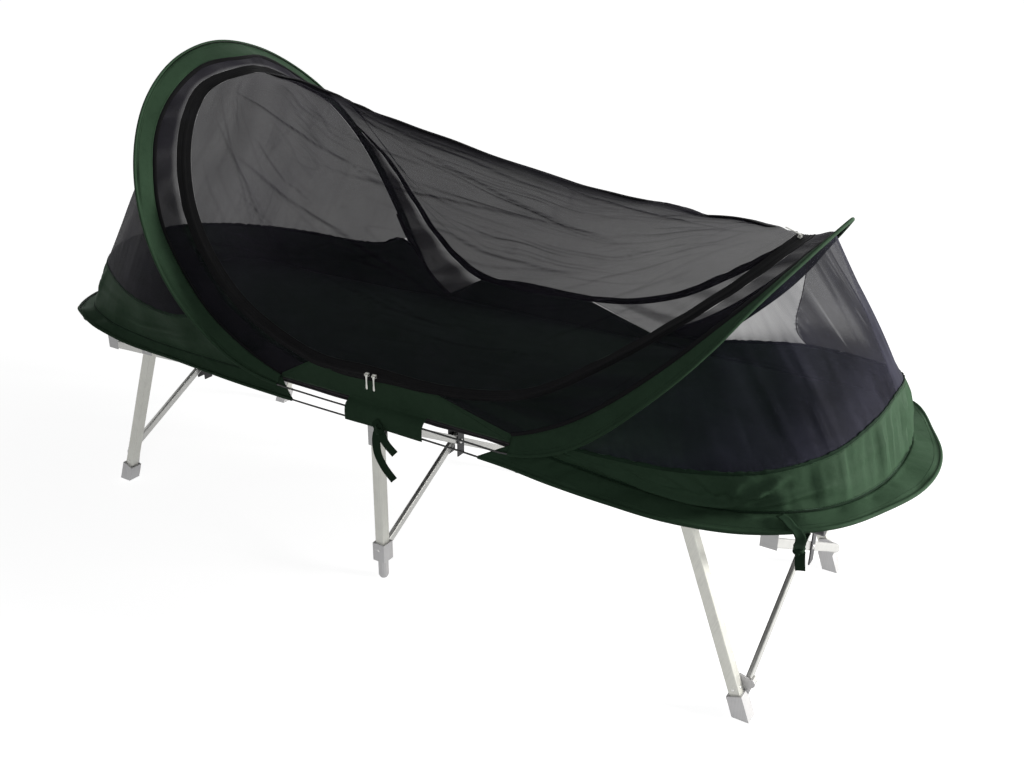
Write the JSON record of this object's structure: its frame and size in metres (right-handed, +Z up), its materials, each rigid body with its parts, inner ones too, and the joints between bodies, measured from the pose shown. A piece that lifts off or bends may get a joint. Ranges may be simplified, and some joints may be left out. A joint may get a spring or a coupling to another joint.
{
  "type": "mosquito net tent on a folding camp bed",
  "caption": "Pop-up mosquito net tent for one sleeper, tied on a folding aluminium camp bed with hinged legs and X braces, and zip sliders that run and swing.",
  "frame": {"origin": "on the floor under the middle of the bed, midway between its middle legs", "axes": "+X towards the foot end, -Y towards the side where the two door sliders meet, +Z up"},
  "size_m": [2.3779, 0.8948, 1.182],
  "materials": {
    "aluminium": "drawn tube, satin anodised",
    "steel": "zinc-plated pressings and end bars with moulded end cups",
    "grey_plastic": "moulded light grey shoes",
    "dark_plastic": "moulded crossing blocks",
    "bed_cloth": "tight black polyester",
    "green_cloth": "thin coated forest-green polyester with a soft sheen",
    "black_net": "fine see-through mosquito net",
    "black_tape": "woven zip tape and coil",
    "spring_wire": "black coated spring wire",
    "zip_metal": "bright zip sliders and pulls"
  },
  "bodies": {
    "bed_and_tent": {"rail_near": "aluminium", "rail_far": "aluminium", "end_bar_head": "steel", "end_bar_foot": "steel", "head_bracket_near": "steel", "head_bracket_far": "steel", "middle_bracket_near": "steel", "middle_bracket_far": "steel", "foot_bracket_near": "steel", "foot_bracket_far": "steel", "bed_cloth": "bed_cloth", "tent_floor": "green_cloth", "brim_head": "green_cloth", "brim_foot": "green_cloth", "side_band_near": "green_cloth", "side_band_far": "green_cloth", "skirt_head": "green_cloth", "skirt_foot": "green_cloth", "sleeve_head": "green_cloth", "sleeve_foot": "green_cloth", "tie_middle": "green_cloth", "tie_foot": "green_cloth", "door_net": "black_net", "strip_net_head": "black_net", "strip_net_foot": "black_net", "net_head": "black_net", "net_foot": "black_net", "zip_tape": "black_tape", "base_hoop": "spring_wire", "upper_hoop": "spring_wire"},
    "head_legs": {"head_leg_near": "aluminium", "head_leg_far": "aluminium", "head_shoe_near": "grey_plastic", "head_shoe_far": "grey_plastic"},
    "head_braces": {"head_brace_near": "aluminium", "head_brace_far": "aluminium", "head_brace_hub": "dark_plastic"},
    "foot_legs": {"foot_leg_near": "aluminium", "foot_leg_far": "aluminium", "foot_shoe_near": "grey_plastic", "foot_shoe_far": "grey_plastic"},
    "foot_braces": {"foot_brace_near": "aluminium", "foot_brace_far": "aluminium", "foot_brace_hub": "dark_plastic"},
    "middle_legs": {"middle_leg_near": "aluminium", "middle_leg_far": "aluminium", "middle_shoe_near": "grey_plastic", "middle_shoe_far": "grey_plastic", "middle_brace_near": "aluminium", "middle_brace_far": "aluminium", "middle_brace_hub": "dark_plastic"},
    "slider_head": {"zip_slider_head": "zip_metal"},
    "pull_head": {"zip_slider_head_pull": "zip_metal"},
    "slider_foot": {"zip_slider_foot": "zip_metal"},
    "pull_foot": {"zip_slider_foot_pull": "zip_metal"},
    "slider_top": {"zip_slider_top": "zip_metal"},
    "pull_top": {"zip_slider_top_pull": "zip_metal"}
  },
  "joints": [
    {"name": "head_leg_fold", "type": "hinge", "parent": "bed_and_tent", "child": "head_legs", "pos_m": [-0.752, 0, 0.433], "axis": [0, -1, 0], "range_deg": [0, 110.97]},
    {"name": "head_brace_turn", "type": "hinge", "parent": "head_legs", "child": "head_braces", "pos_m": [-0.9204, 0, 0.072], "axis": [0, 1, 0], "range_deg": [0, 20.98]},
    {"name": "middle_leg_fold", "type": "hinge", "parent": "bed_and_tent", "child": "middle_legs", "pos_m": [0, 0, 0.374], "axis": [0, -1, 0], "range_deg": [0, 90]},
    {"name": "foot_leg_fold", "type": "hinge", "parent": "bed_and_tent", "child": "foot_legs", "pos_m": [0.752, 0, 0.433], "axis": [0, 1, 0], "range_deg": [0, 110.97]},
    {"name": "foot_brace_turn", "type": "hinge", "parent": "foot_legs", "child": "foot_braces", "pos_m": [0.9204, 0, 0.072], "axis": [0, -1, 0], "range_deg": [0, 20.98]},
    {"name": "slider_head_run", "type": "slide", "parent": "bed_and_tent", "child": "slider_head", "axis": [-1, 0, 0], "range_m": [0, 0.08]},
    {"name": "slider_foot_run", "type": "slide", "parent": "bed_and_tent", "child": "slider_foot", "axis": [1, 0, 0], "range_m": [0, 0.1]},
    {"name": "slider_top_run", "type": "slide", "parent": "bed_and_tent", "child": "slider_top", "axis": [0, 1, 0], "range_m": [0, 0.02]},
    {"name": "pull_head_swing", "type": "hinge", "parent": "slider_head", "child": "pull_head", "pos_m": [0.016, -0.3654, 0.556], "axis": [-1, 0, 0], "range_deg": [0, 90]},
    {"name": "pull_foot_swing", "type": "hinge", "parent": "slider_foot", "child": "pull_foot", "pos_m": [0.036, -0.3654, 0.556], "axis": [-1, 0, 0], "range_deg": [0, 90]},
    {"name": "pull_top_swing", "type": "hinge", "parent": "slider_top", "child": "pull_top", "pos_m": [0.82312, 0, 0.91434], "axis": [0, 1, 0], "range_deg": [0, 90]}
  ],
  "couplings": [
    {"joint": "head_brace_turn", "follows": "head_leg_fold", "ratio": 0.18901},
    {"joint": "foot_brace_turn", "follows": "foot_leg_fold", "ratio": 0.18901}
  ]
}
